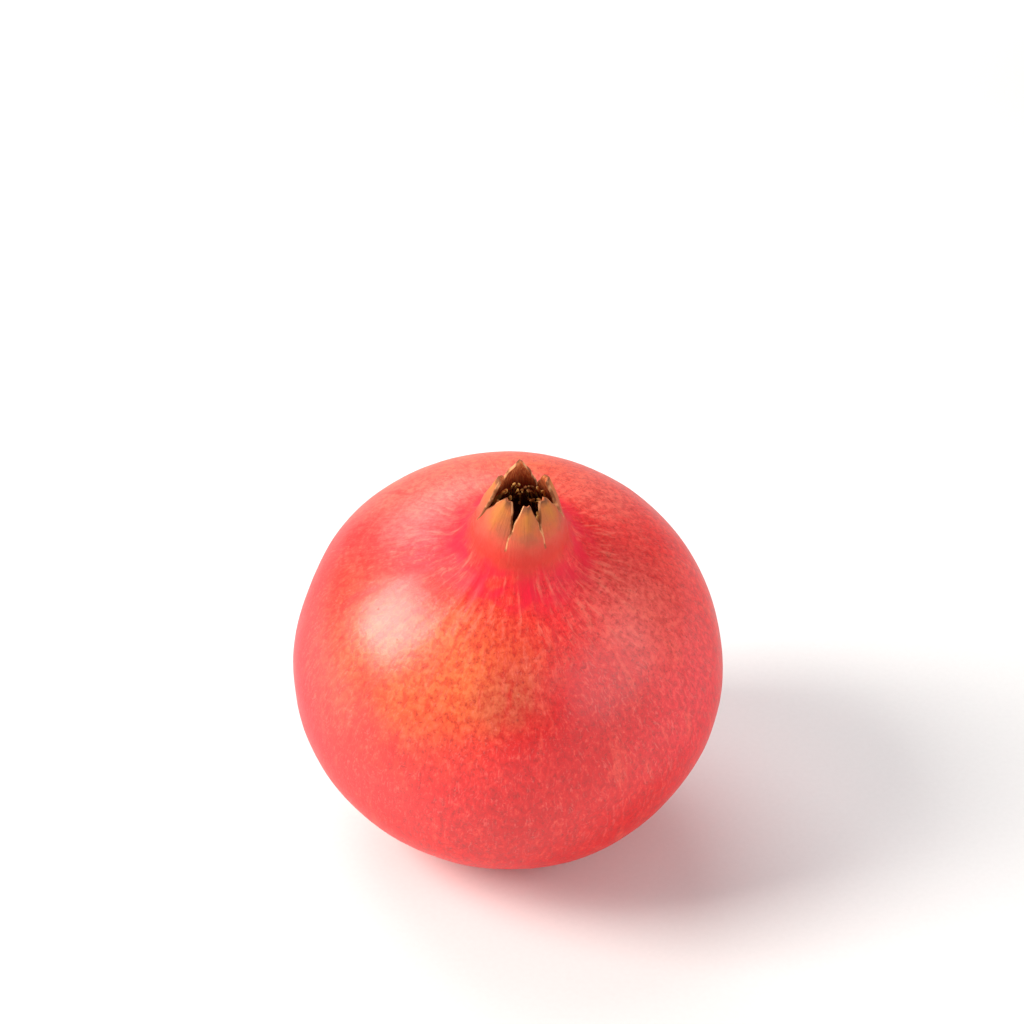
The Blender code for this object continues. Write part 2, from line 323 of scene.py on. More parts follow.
def smooth_shape(obj, levels):
    """Subdivide a shape smoothly, the same in a render as in the view."""
    smooth = obj.modifiers.new("Smooth", "SUBSURF")
    smooth.levels = levels
    smooth.render_levels = levels
    apply_modifiers(obj)


def settle_in_place(obj):
    """Put a finished piece where it rests, with its place in its mesh."""
    activate(obj)
    obj.matrix_world = PLACEMENT @ obj.matrix_world
    bpy.ops.object.transform_apply(location=True, rotation=True, scale=True)


def join_to_root(piece, slot, *nodes):
    """Every piece rides on the one body and stands for its nodes, which are hidden."""
    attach(piece, "root")
    if nodes:
        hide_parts(*nodes)


def rest_turn():
    """Rotation that leans the fruit's own axis over."""
    axis = Vector((
        math.sin(LEAN_RIGHT),
        -math.sin(LEAN_FORWARD) * math.cos(LEAN_RIGHT),
        math.cos(LEAN_FORWARD) * math.cos(LEAN_RIGHT),
    ))
    side = (Vector((1, 0, 0)) - axis * axis.x).normalized()
    return Matrix((side, axis.cross(side), axis)).transposed()


PLACEMENT = Matrix.Translation(MIDDLE) @ rest_turn().to_4x4()


# The fruit's profile, on its own axis

def body_profile(latitude):
    """Radius and height of the body's skin at a latitude, with the neck's flare and the dimple."""
    above = latitude > 0
    height = CROWN_SIDE_HEIGHT if above else STALK_SIDE_HEIGHT
    power = CROWN_SIDE_POWER if above else STALK_SIDE_POWER
    radius = BODY_RADIUS * math.cos(latitude) ** (2 / power)
    rise = math.copysign(height * abs(math.sin(latitude)) ** (2 / power), latitude)
    if above:
        rise += NECK_RISE * math.exp(-(radius - NECK_RADIUS) / NECK_FLARE)
    else:
        rise += DIMPLE_DEPTH * math.exp(-((radius / DIMPLE_RADIUS) ** 4))
    return radius, rise


def outer_profile():
    """Radii and heights from the bottom of the slits, down the neck and body, to the stalk end."""
    neck_latitude = math.acos((NECK_RADIUS / BODY_RADIUS) ** (CROWN_SIDE_POWER / 2))
    neck_foot = body_profile(neck_latitude)[1]
    neck_rings = 4
    points = []
    for step in range(1, neck_rings):
        share = 1 - step / neck_rings
        radius = NECK_RADIUS - (NECK_RADIUS - SLIT_RADIUS) * share ** 1.5
        points.append((radius, neck_foot + (SLIT_HEIGHT - neck_foot) * share))
    crown_side_rings = 15
    for step in range(crown_side_rings + 1):
        points.append(body_profile(neck_latitude * (1 - (step / crown_side_rings) ** 1.5)))
    stalk_side_rings = 13
    for step in range(1, stalk_side_rings):
        points.append(body_profile(-math.pi / 2 * (1 - (1 - step / stalk_side_rings) ** 1.2)))
    return points


def cup_profile():
    """Radii and heights down the wall of the hollow and across its floor."""
    wall_radius = SLIT_RADIUS - CROWN_WALL
    wall_foot = CUP_FLOOR + CUP_CORNER
    points = [(wall_radius, SLIT_HEIGHT + (wall_foot - SLIT_HEIGHT) * step / 3) for step in (1, 2, 3)]
    for step in (1, 2, 3):
        bend = step * math.pi / 6
        points.append((
            wall_radius - CUP_CORNER * (1 - math.cos(bend)), wall_foot - CUP_CORNER * math.sin(bend)))
    points += [(wall_radius - CUP_CORNER - step * 0.0018, CUP_FLOOR) for step in (1, 2)]
    return points


def sepal_span(number):
    """Direction in which a sepal starts and the angle it spans, in radians."""
    start = SEPAL_SHAPES[number][0]
    end = SEPAL_SHAPES[(number + 1) % SEPALS][0]
    return math.radians(start), math.radians((end - start) % 360)


def sepal_point(number, across, rise, inside):
    """A point of a sepal: across from -1 to 1, rise from its root (0) to its tip (1)."""
    _, tip_height, tip_radius, tip_direction, tip_half = SEPAL_SHAPES[number]
    start, width = sepal_span(number)
    half_angle = width / 2
    root_half = SLIT_RADIUS * math.sin(half_angle)
    taper = rise ** 1.45
    half_width = (1 - taper) * root_half + taper * tip_half
    ripple = 0.00010 * math.sin(rise * 17 + number * 2.3) * math.sin(math.pi * rise)
    half_width += ripple * (1 + abs(across))
    sideways = half_width * math.sin(across * half_angle) / math.sin(half_angle)
    bow = 0.0005 * math.sin(number * 1.9) * math.sin(math.pi * rise)
    middle = SLIT_RADIUS + (tip_radius - SLIT_RADIUS) * rise + bow * 0.6
    outward = middle - SLIT_RADIUS + math.sqrt(SLIT_RADIUS ** 2 - sideways ** 2)
    firmness = min(1.0, 3 * rise)
    outward += sizes().sepal_keel * (1 - abs(across)) ** 1.1 * firmness * (1 - 0.4 * rise)
    outward -= sizes().edge_curl * abs(across) ** 5 * firmness * (1 - 0.5 * rise)
    if inside:
        thickness = CROWN_WALL + (TIP_THICKNESS - CROWN_WALL) * rise ** 0.7
        thickness *= 1 - 0.35 * abs(across) ** 3 * firmness
        outward -= thickness
        sideways *= 1 - 0.6 * thickness / SLIT_RADIUS
    height = SLIT_HEIGHT + (tip_height - SLIT_HEIGHT) * rise
    if inside:
        height -= 0.00025 * rise
    middle_direction = start + half_angle
    turn = middle_direction + (math.radians(tip_direction) - middle_direction) * rise ** 1.5
    return Vector((
        outward * math.cos(turn) - sideways * math.sin(turn),
        outward * math.sin(turn) + sideways * math.cos(turn),
        height,
    ))


# The fruit

def extrude_rings(points, radius, height):
    """From the selected ring or face, at this radius and height, extrude it to each point in turn."""
    for next_radius, next_height in points:
        bpy.ops.mesh.extrude_region_move(TRANSFORM_OT_translate={"value": (0, 0, next_height - height)})
        scale = next_radius / radius
        bpy.ops.transform.resize(value=(scale, scale, 1), center_override=(0, 0, next_height))
        radius, height = next_radius, next_height


def is_rim(edge, radius):
    """Whether an edge lies on the ring at the bottom of the slits, at a radius from the axis."""
    return all(
        abs(vert.co.z - SLIT_HEIGHT) < HEIGHT_SLACK and abs(vert.co.xy.length - radius) < RING_SLACK
        for vert in edge.verts)


def turn_columns(bm):
    """Turn the rim's vertices so that each sepal starts and ends at its own slit."""
    first = math.radians(SEPAL_SHAPES[0][0])
    rim = [vert for vert in bm.verts if abs(vert.co.z - SLIT_HEIGHT) < HEIGHT_SLACK]
    rim.sort(key=lambda vert: (math.atan2(vert.co.y, vert.co.x) - first + ANGLE_SLACK) % (2 * math.pi))
    for place, vert in enumerate(rim):
        number, column = divmod(place, COLUMNS_PER_SEPAL)
        start, width = sepal_span(number)
        angle = start + width * column / COLUMNS_PER_SEPAL
        vert.co = Vector((SLIT_RADIUS * math.cos(angle), SLIT_RADIUS * math.sin(angle), SLIT_HEIGHT))


def raise_sepal(mesh, number):
    """Extrude one sepal's outer face up from its part of the rim, row by row."""
    start, width = sepal_span(number)

    def share_along(vert):
        angle = (math.atan2(vert.co.y, vert.co.x) - start + ANGLE_SLACK) % (2 * math.pi)
        return angle / width

    def in_span(edge):
        middle = (edge.verts[0].co + edge.verts[1].co) / 2
        angle = (math.atan2(middle.y, middle.x) - start) % (2 * math.pi)
        return is_rim(edge, SLIT_RADIUS) and angle < width

    select_where(mesh, edge_test=in_span)
    bm = bmesh.from_edit_mesh(mesh)
    across = bm.verts.layers.float["across"]
    for vert in bm.verts:
        if vert.select:
            vert[across] = 2 * round(share_along(vert) * COLUMNS_PER_SEPAL) / COLUMNS_PER_SEPAL - 1
    bmesh.update_edit_mesh(mesh)
    for row in range(1, SEPAL_ROWS + 1):
        bpy.ops.mesh.extrude_region_move()
        bm = bmesh.from_edit_mesh(mesh)
        across = bm.verts.layers.float["across"]
        rise = bm.verts.layers.float["rise"]
        owner = bm.verts.layers.float["sepal"]
        for vert in bm.verts:
            if vert.select:
                vert[rise] = row / SEPAL_ROWS
                vert[owner] = number + 1
                vert.co = sepal_point(number, vert[across], vert[rise], False)
        bmesh.update_edit_mesh(mesh)


def line_crown(mesh):
    """Double the sepals for their inner faces, close their edges, and open the hollow below."""
    bm = bmesh.from_edit_mesh(mesh)
    crease = bm.edges.layers.float.get("crease_edge") or bm.edges.layers.float.new("crease_edge")
    owner = bm.verts.layers.float["sepal"]
    inner_of = {}
    sepal_faces = [face for face in bm.faces if any(vert[owner] > 0.5 for vert in face.verts)]
    border = [
        edge for edge in {edge for face in sepal_faces for edge in face.edges}
        if edge.is_boundary and any(vert[owner] > 0.5 for vert in edge.verts)
    ]
    across = bm.verts.layers.float["across"]
    rise = bm.verts.layers.float["rise"]
    lining = bm.verts.layers.float["lining"]
    for face in sepal_faces:
        for vert in face.verts:
            if vert in inner_of:
                continue
            if vert[owner] > 0.5:
                place = sepal_point(int(vert[owner] + 0.5) - 1, vert[across], vert[rise], True)
            else:
                shrink = (SLIT_RADIUS - CROWN_WALL) / SLIT_RADIUS
                place = Vector((vert.co.x * shrink, vert.co.y * shrink, vert.co.z))
            twin = bm.verts.new(place)
            for layer in (owner, across, rise):
                twin[layer] = vert[layer]
            twin[lining] = 1
            inner_of[vert] = twin
    for face in sepal_faces:
        bm.faces.new([inner_of[vert] for vert in reversed(face.verts)])
    for edge in border:
        start, end = edge.verts
        loop = edge.link_loops[0]
        if loop.vert == start:
            start, end = end, start
        bm.faces.new((start, end, inner_of[end], inner_of[start]))
        edge[crease] = EDGE_CREASE
    bm.normal_update()
    bmesh.update_edit_mesh(mesh)
    select_where(mesh, edge_test=lambda edge: is_rim(edge, SLIT_RADIUS - CROWN_WALL))
    extrude_rings(cup_profile(), SLIT_RADIUS - CROWN_WALL, SLIT_HEIGHT)
    bpy.ops.mesh.merge(type="CENTER")


def mark_edges(mesh):
    """Keep how near each vertex of the crown is to a sepal's edge, for the finish."""
    across = mesh.attributes["across"].data
    rise = mesh.attributes["rise"].data
    lining = mesh.attributes["lining"].data
    edge = mesh.attributes.new("edge", "FLOAT", "POINT").data
    for vert in mesh.vertices:
        in_crown = rise[vert.index].value > 0 or vert.co.z > SLIT_HEIGHT - HEIGHT_SLACK
        edge[vert.index].value = abs(across[vert.index].value) if in_crown else 0
        within_wall = vert.co.xy.length < SLIT_RADIUS - CROWN_WALL + WALL_SLACK
        if within_wall and CUP_FLOOR - WALL_SLACK < vert.co.z < SLIT_HEIGHT:
            lining[vert.index].value = 1


def pressed(point):
    """The point moved in where the body is pressed flatter; point is measured from its middle."""
    moved = point.copy()
    for direction, depth, spread in PRESSED_PLACES:
        outward = direction.normalized()
        moved -= outward * depth * math.exp(-((outward.angle(point) / spread) ** 2))
    return moved


def shape_skin(obj):
    """Ribs down the sides and puckers under the neck; the crown is left as it is."""
    normals = [vert.normal.copy() for vert in obj.data.vertices]
    for vert in obj.data.vertices:
        reach = vert.co.xy.length
        if vert.co.z > SLIT_HEIGHT or (vert.co.z > 0 and reach < NECK_RADIUS - 2e-4):
            continue
        around = math.atan2(vert.co.y, vert.co.x)
        share = (reach / BODY_RADIUS) ** 2
        swell = share * LOBE_HEIGHT * math.cos(LOBES * around + 1.0)
        if vert.co.z > 0:
            near_neck = math.exp(-(((reach - 0.016) / 0.007) ** 2))
            ribs = math.sin(23 * around + 2.1 * math.sin(3 * around)) + 0.6 * math.sin(41 * around + 1.3)
            swell += sizes().pucker_height * near_neck * ribs * 0.5
        vert.co += normals[vert.index] * swell


def rest_on_flat(obj):
    """Press the leaning fruit in at its flatter places, and flatten it softly where it rests."""
    softness = 0.0004
    for vert in obj.data.vertices:
        point = pressed(vert.co - MIDDLE) + MIDDLE
        if point.z < 0.004:
            point.z = (point.z + math.sqrt(point.z ** 2 + softness ** 2)) / 2
        vert.co = point


def add_dents(obj):
    """Broad shallow unevenness from a cloud texture, on the body only."""
    body = obj.vertex_groups.new(name="body")
    for vert in obj.data.vertices:
        height_share = (SLIT_HEIGHT - 0.004 - vert.co.z) / 0.006
        body.add([vert.index], max(0.0, min(1.0, height_share)), "REPLACE")
    for name, size, share in (("broad dents", 0.022, 1.0), ("small dents", 0.006, 0.22)):
        clouds = bpy.data.textures.new(name, "CLOUDS")
        clouds.noise_scale = size
        clouds.noise_depth = 1
        dents = obj.modifiers.new(name, "DISPLACE")
        dents.texture = clouds
        dents.texture_coords = "LOCAL"
        dents.strength = sizes().dent_height * share
        dents.mid_level = 0.5
        dents.vertex_group = "body"


class POMEGRANATE_OT_fruit(bpy.types.Operator):
    """Model the rind with its neck and six sepals, all grown as one piece"""

    bl_idname = "pomegranate.fruit"
    bl_label = "Fruit"

    def execute(self, context):
        clear_selection()
        bpy.ops.mesh.primitive_circle_add(
            vertices=SEPALS * COLUMNS_PER_SEPAL, radius=SLIT_RADIUS, fill_type="NOTHING",
            location=(0, 0, SLIT_HEIGHT), rotation=(0, 0, math.radians(SEPAL_SHAPES[0][0])))
        fruit = context.object
        fruit.name = "pomegranate_fruit"
        bpy.ops.object.transform_apply(location=True, rotation=True, scale=True)
        mesh = fruit.data
        for name in ("across", "rise", "sepal", "lining"):
            mesh.attributes.new(name, "FLOAT", "POINT")
        start_edit("VERT")
        extrude_rings(outer_profile(), SLIT_RADIUS, SLIT_HEIGHT)
        bpy.ops.mesh.merge(type="CENTER")
        turn_columns(bmesh.from_edit_mesh(mesh))
        bmesh.update_edit_mesh(mesh)
        bpy.ops.mesh.select_mode(type="EDGE")
        for number in range(SEPALS):
            raise_sepal(mesh, number)
        line_crown(mesh)
        close_edit()
        mark_edges(mesh)
        smooth_shape(fruit, 2)
        add_dents(fruit)
        apply_modifiers(fruit)
        shape_skin(fruit)
        settle_in_place(fruit)
        rest_on_flat(fruit)
        bpy.ops.object.shade_smooth()
        mesh.materials.clear()
        mesh.materials.append(rind_finish())
        join_to_root(fruit, "rind", "fruit")
        return {"FINISHED"}


# Finishes

class Finish:
    """A material's node tree, built from left to right."""

    def __init__(self, name):
        self.material = bpy.data.materials.new(name)
        self.material.use_nodes = True
        self.tree = self.material.node_tree
        self.shader = self.tree.nodes["Principled BSDF"]
        self.columns = 0

    def add(self, kind, **settings):
        """A node of a kind, with its settings."""
        node = self.tree.nodes.new(kind)
        self.columns += 1
        node.location = (-260 * (self.columns % 12) - 300, -190 * (self.columns // 12))
        for name, value in settings.items():
            setattr(node, name, value)
        return node

    def object_place(self):
        return self.add("ShaderNodeTexCoord").outputs["Object"]

    def height_of(self, place):
        """How high a place is."""
        parts = self.add("ShaderNodeSeparateXYZ")
        self.feed(parts.inputs[0], place)
        return parts.outputs["Z"]

    def surface(self, **values):
        """Give the shader's sockets their values; an underscore stands for a space."""
        for name, value in values.items():
            self.feed(self.shader.inputs[name.replace("_", " ")], value)

    def feed(self, socket, value):
        """Link a socket to another, or give it a value."""
        if isinstance(value, bpy.types.NodeSocket):
            self.tree.links.new(value, socket)
        elif socket.type == "RGBA":
            socket.default_value = (value[0], value[1], value[2], 1)
        else:
            socket.default_value = value

    def math(self, operation, first, second=0.0, third=None):
        node = self.add("ShaderNodeMath", operation=operation)
        self.feed(node.inputs[0], first)
        self.feed(node.inputs[1], second)
        if third is not None:
            self.feed(node.inputs[2], third)
        return node.outputs[0]

    def times(self, first, second):
        return self.math("MULTIPLY", first, second)

    def vector(self, operation, first, second=None, scale=None):
        node = self.add("ShaderNodeVectorMath", operation=operation)
        self.feed(node.inputs[0], first)
        if second is not None:
            self.feed(node.inputs[1], second)
        if scale is not None:
            self.feed(node.inputs["Scale"], scale)
        gives_number = operation in ("LENGTH", "DISTANCE")
        return node.outputs["Value" if gives_number else "Vector"]

    def noise(self, vector, scale, detail=2.0, roughness=0.5, distortion=0.0):
        node = self.add("ShaderNodeTexNoise")
        self.feed(node.inputs["Vector"], vector)
        for name, value in (("Scale", scale), ("Detail", detail), ("Roughness", roughness),
                            ("Distortion", distortion)):
            node.inputs[name].default_value = value
        return node.outputs["Fac"]

    def cells(self, vector, scale, randomness=1.0):
        node = self.add("ShaderNodeTexVoronoi")
        self.feed(node.inputs["Vector"], vector)
        node.inputs["Scale"].default_value = scale
        node.inputs["Randomness"].default_value = randomness
        return node

    def fade(self, value, low, high, to_low=0.0, to_high=1.0):
        """A smooth step of a value between two limits."""
        node = self.add("ShaderNodeMapRange", interpolation_type="SMOOTHSTEP")
        self.feed(node.inputs["Value"], value)
        for name, number in (("From Min", low), ("From Max", high), ("To Min", to_low), ("To Max", to_high)):
            node.inputs[name].default_value = number
        return node.outputs["Result"]

    def mix(self, share, first, second, blend="MIX"):
        """One colour laid over another."""
        node = self.add("ShaderNodeMix", data_type="RGBA", blend_type=blend)
        self.feed(node.inputs["Factor"], share)
        self.feed(node.inputs[6], first)
        self.feed(node.inputs[7], second)
        return node.outputs[2]

    def even_vector(self, amount):
        """The same amount in each direction, to bend a pattern with."""
        node = self.add("ShaderNodeCombineXYZ")
        for socket in node.inputs:
            self.feed(socket, amount)
        return node.outputs[0]

    def attribute(self, name):
        node = self.add("ShaderNodeAttribute", attribute_name=name, attribute_type="GEOMETRY")
        return node.outputs["Fac"]

    def edge_on(self):
        """How far the surface turns from the eye, 0 face on and 1 edge on; for gloss only."""
        return self.add("ShaderNodeLayerWeight").outputs["Facing"]

    def bump(self, height, distance, strength, normal=None):
        node = self.add("ShaderNodeBump")
        self.feed(node.inputs["Height"], height)
        node.inputs["Distance"].default_value = distance
        node.inputs["Strength"].default_value = strength
        if normal is not None:
            self.feed(node.inputs["Normal"], normal)
        return node.outputs["Normal"]


def own_axis_place(finish):
    """The place on the fruit's own axis: crown up, zero at the middle of the body."""
    place = finish.object_place()
    mapping = finish.add("ShaderNodeMapping", vector_type="POINT")
    back = rest_turn().transposed()
    finish.feed(mapping.inputs["Vector"], place)
    mapping.inputs["Location"].default_value = -(back @ MIDDLE)
    mapping.inputs["Rotation"].default_value = back.to_euler("XYZ")
    return mapping.outputs["Vector"]


# Patches of blush and of painted sheen and glow: direction from the middle as the fruit rests, reach in
# degrees, colour, strength
BLUSH_AND_PAINTED_SHEEN = (
    # Partly warmer, less ripe patches and partly painted glow round the key light's highlight
    ((-0.55, -0.62, 0.56), 34, "orange", 0.50),
    ((-0.13, -0.77, 0.62), 19, "orange", 0.90),
    ((-0.36, -0.83, 0.43), 22, "orange", 0.65),
    ((0.38, -0.86, 0.34), 24, "crimson", 0.70),
    ((0.06, -0.98, -0.18), 30, "crimson", 0.80),
    # Painted sheen: orange-peach painted on the top, where the top light and the white room reflect
    ((0.05, 0.30, 0.95), 30, "orange", 0.65),
    ((0.20, -0.75, -0.62), 44, "crimson", 0.75),
    ((0.04, -0.90, 0.43), 9, "tan", 0.60),
    ((0.58, -0.72, -0.38), 32, "crimson", 0.70),
    ((-0.02, -0.72, 0.72), 12, "crimson", 0.60),
    ((0.24, -0.50, 0.84), 16, "rose", 0.60),
    ((-0.36, -0.30, 0.88), 20, "rose", 0.90),
    ((-0.98, -0.05, -0.10), 38, "rose", 0.75),
    # Painted sheen: pale pink where the shoulders and the upper right catch the top and side lights
    ((0.61, -0.43, 0.66), 24, "painted_sheen", 0.65),
    ((-0.34, 0.20, 0.92), 32, "painted_sheen", 0.90),
    ((0.43, 0.15, 0.89), 22, "painted_sheen", 0.60),
    ((0.85, -0.45, 0.10), 30, "rose", 0.45),
    ((-0.20, -0.60, -0.77), 30, "rose", 0.45),
    ((0.55, 0.80, 0.20), 36, "orange", 0.60),
    ((-0.40, 0.90, -0.10), 30, "crimson", 0.50),
    ((0.95, 0.20, 0.30), 30, "coral", 0.60),
    ((-0.30, 0.60, 0.75), 34, "orange", 0.45),
)


def blush_and_painted_sheen(finish, object_place, own_place):
    """Large soft patches of red, rose and orange, with wandering borders; some are painted sheen and glow
    where light falls.
    """
    wander = finish.noise(own_place, 70, detail=5.0, roughness=0.62)
    broad = finish.noise(own_place, 34, detail=3.0)
    colour = finish.mix(finish.fade(broad, 0.38, 0.66, 0.0, 0.7), colours().coral, colours().crimson)
    direction = finish.vector("NORMALIZE", finish.vector("SUBTRACT", object_place, tuple(MIDDLE)))
    for outward, reach, name, strength in BLUSH_AND_PAINTED_SHEEN:
        centre = Vector(outward).normalized()
        distance = finish.vector("DISTANCE", direction, tuple(centre))
        ragged = finish.math("MULTIPLY_ADD", wander, 0.6, distance)
        radius = 2 * math.sin(math.radians(reach) / 2)
        share = finish.fade(ragged, radius + 0.40, 0.26, 0.0, strength)
        colour = finish.mix(share, colour, getattr(colours(), name))
    return colour


def rind_finish():
    """Waxy leathery skin: blush with painted sheen, flecks and streaks, turning tan and then dry up the
    crown; painted shade deep in the hollow.
    """
    finish = Finish("pomegranate rind")
    object_place = finish.object_place()
    own_place = own_axis_place(finish)
    height = finish.height_of(own_place)
    flat_place = finish.vector("MULTIPLY", own_place, (1, 1, 0))
    reach = finish.vector("LENGTH", flat_place)
    around = finish.vector("NORMALIZE", flat_place)

    # Fine wrinkles that run from the crown to the stalk, broken along their length
    along = finish.add("ShaderNodeCombineXYZ")
    finish.feed(along.inputs["Z"], finish.times(reach, 130.0))
    bent = finish.noise(own_place, 160, detail=2.0)
    streak_place = finish.vector("ADD", finish.vector("SCALE", around, scale=12.0), along.outputs[0])
    streak_place = finish.vector(
        "ADD", streak_place, finish.vector("SCALE", finish.even_vector(bent), scale=1.6))
    streaks = finish.noise(streak_place, 1.5, detail=3.0, roughness=0.6)
    near_crown = finish.times(finish.fade(reach, 0.040, 0.012), finish.fade(height, 0.0, 0.02))

    # Mottling a millimetre or two across, and specks under half a millimetre
    squashed = finish.vector("MULTIPLY", own_place, (1, 1, 0.55))
    mottle = finish.noise(squashed, 820, detail=5.0, roughness=0.68, distortion=0.3)
    blotches = finish.noise(own_place, 300, detail=3.0, roughness=0.6)
    fine = finish.noise(own_place, 1900, detail=2.0, roughness=0.6)
    specks = finish.fade(finish.math("MULTIPLY_ADD", mottle, 0.8, fine), 0.80, 0.68)
    pale_marks = finish.fade(finish.noise(streak_place, 8.0, detail=3.0, roughness=0.7), 0.52, 0.66)
    meridians = finish.vector("ADD", finish.vector("SCALE", around, scale=15.0),
                              finish.vector("MULTIPLY", own_place, (0, 0, 95)))
    bands = finish.noise(meridians, 0.9, detail=3.0, roughness=0.6)
    pores = finish.fade(finish.cells(own_place, 260).outputs["Distance"], 0.09, 0.03)

    colour = blush_and_painted_sheen(finish, object_place, own_place)
    side = finish.fade(reach, 0.012, 0.026)
    marks = (
        (finish.times(side, finish.fade(bands, 0.56, 0.72, 0.0, 0.60)), DEEP_BAND),
        (finish.times(side, finish.fade(bands, 0.44, 0.28, 0.0, 0.40)), PALE_BAND),
        (finish.fade(mottle, 0.60, 0.38, 0.0, 0.55), DEEP_MOTTLE),
        (finish.fade(mottle, 0.54, 0.76, 0.0, 0.46), PALE_MOTTLE),
        (finish.times(near_crown, finish.fade(streaks, 0.50, 0.70, 0.0, 0.50)), PALE_STREAK),
        (finish.times(near_crown, finish.fade(streaks, 0.48, 0.30, 0.0, 0.50)), DEEP_STREAK),
        (finish.times(specks, 0.36), SPECK),
        (finish.times(pale_marks, finish.fade(blotches, 0.38, 0.62, 0.08, 0.24)), PALE_MARK),
        (finish.times(pores, 0.40), PORE),
    )
    for share, mark in marks:
        colour = finish.mix(share, colour, mark)

    # A deeper, pinker ring where the neck rises
    ring = finish.times(finish.fade(reach, 0.0185, 0.0135), finish.fade(height, 0.030, 0.038))
    ring_noise = finish.noise(own_place, 230, detail=3.0)
    ring = finish.times(ring, finish.fade(ring_noise, 0.36, 0.60, 0.15, 0.9))
    colour = finish.mix(ring, colour, NECK_RING)

    # Russet round the stalk
    stalk_end = finish.times(finish.fade(reach, 0.011, 0.003), finish.fade(height, -0.03, -0.036))
    colour = finish.mix(finish.times(stalk_end, finish.fade(mottle, 0.3, 0.6, 0.4, 1.0)),
                        colour, RUSSET)

    # Up the neck and the sepals
    rise = finish.attribute("rise")
    edge = finish.attribute("edge")
    lining = finish.attribute("lining")
    crown_noise = finish.noise(streak_place, 2.2, detail=4.0, roughness=0.65)
    crown_height = finish.math("ADD", height, finish.math("MULTIPLY_ADD", blotches, 0.006, -0.003))
    inner_reach = finish.fade(reach, 0.016, 0.0115)
    neck_share = finish.times(finish.fade(crown_height, 0.0435, 0.0485, 0.0, 0.8), inner_reach)
    colour = finish.mix(neck_share, colour, NECK_BROWN)
    tan_share = finish.times(finish.fade(crown_height, 0.0490, 0.0545), inner_reach)
    colour = finish.mix(tan_share, colour, finish.mix(
        finish.fade(blotches, 0.40, 0.60), colours().tan, PINK_TAN))
    warm_rise = finish.math("ADD", rise, finish.math("MULTIPLY_ADD", blotches, 0.9, -0.45))
    ridge = finish.math("MULTIPLY_ADD", edge, -0.45, 0.95)
    colour = finish.mix(finish.times(finish.fade(warm_rise, 0.20, 0.85), ridge),
                        colour, colours().straw)
    colour = finish.mix(finish.times(finish.fade(crown_noise, 0.50, 0.34),
                                    finish.fade(rise, 0.0, 0.6, 0.0, 0.22)),
                        colour, DARK_LINE)
    colour = finish.mix(finish.fade(finish.math("MULTIPLY_ADD", blotches, 0.4, rise), 1.04, 1.20),
                        colour, colours().bark)
    rim_colour = finish.mix(finish.fade(blotches, 0.40, 0.60), DARK_RIM, PALE_RIM)
    colour = finish.mix(finish.times(finish.fade(edge, 0.90, 0.99), finish.fade(rise, 0.0, 0.08)),
                        colour, rim_colour)
    # Darker deep in the hollow: the crown's dark floor with painted shade
    inner_low = finish.mix(finish.fade(height, 0.0530, 0.0470), UPPER_HOLLOW, HOLLOW_FLOOR_AND_PAINTED_SHADE)
    inner_high = finish.mix(finish.fade(crown_noise, 0.40, 0.62), DEEP_LINING, PALE_LINING)
    inner_colour = finish.mix(finish.fade(rise, 0.02, 0.45), inner_low, inner_high)
    colour = finish.mix(finish.times(lining, finish.fade(edge, 0.99, 0.88)), colour, inner_colour)

    # Gloss: waxy on the body, dry on the crown, and less waxy where the skin turns edge on
    neck_near = finish.times(finish.fade(reach, 0.022, 0.014), finish.fade(height, 0.0, 0.02))
    waxy = finish.math("MULTIPLY_ADD", neck_near, 0.16, finish.fade(mottle, 0.3, 0.7, 0.38, 0.46))
    dry = finish.math("MAXIMUM", finish.fade(rise, 0.0, 0.5), lining)
    roughness = finish.math("MULTIPLY_ADD", dry, 0.28, waxy)
    wax = finish.math("MULTIPLY_ADD", finish.math("MAXIMUM", dry, neck_near), -0.64, 0.72)
    face_on = finish.fade(finish.edge_on(), 0.30, 0.72, 1.0, 0.04)
    coat = finish.times(wax, face_on)

    # Fine relief
    grain = finish.bump(mottle, 0.00025, 0.25)
    pitted = finish.bump(finish.times(pores, -1.0), 0.00010, 0.35, grain)
    lines = finish.bump(finish.times(streaks, near_crown), 0.0006, 0.25, pitted)
    crown_lines = finish.bump(finish.times(crown_noise, dry), 0.0008, 0.35, lines)
    finish.surface(
        Base_Color=colour, Roughness=roughness, Specular_IOR_Level=0.24, Normal=crown_lines,
        Coat_Weight=coat, Coat_Roughness=0.28, Coat_Normal=pitted)
    return finish.material


def stamen_finish():
    """Dry golden filaments and anthers."""
    finish = Finish("dry stamen")
    place = finish.object_place()
    grain = finish.noise(place, 1500, detail=3.0)
    patches = finish.noise(place, 300, detail=1.0)
    colour = finish.mix(finish.fade(patches, 0.44, 0.62), FILAMENT, colours().pollen)
    colour = finish.mix(finish.fade(grain, 0.5, 0.75, 0.0, 0.6), colour, DUST)
    finish.surface(
        Base_Color=colour, Roughness=finish.fade(grain, 0.3, 0.7, 0.6, 0.85),
        Normal=finish.bump(grain, 0.0002, 0.6))
    return finish.material


